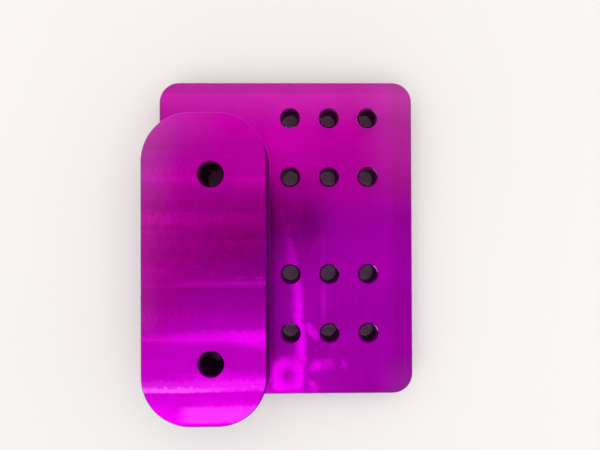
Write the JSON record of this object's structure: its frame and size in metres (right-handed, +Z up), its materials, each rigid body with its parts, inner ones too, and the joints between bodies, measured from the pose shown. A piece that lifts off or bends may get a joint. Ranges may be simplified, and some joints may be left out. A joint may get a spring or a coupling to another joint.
{
  "type": "machined mounting block",
  "caption": "Rounded aluminium plate with a grid of screw holes and a raised, round-ended pad along one side with two deeper holes.",
  "frame": {"origin": "on the flat underside, below the middle of the whole outline", "axes": "+X across the plate from the pad's side to the plate's free side, +Y along the plate towards the end that the pad stops short of, +Z up from the underside to the pad"},
  "size_m": [0.1012, 0.1282, 0.02],
  "materials": {
    "anodised_aluminium": "magenta-purple anodised, as milled, with cutter passes showing"
  },
  "bodies": {
    "root": {"mounting_block": "anodised_aluminium"}
  },
  "joints": []
}
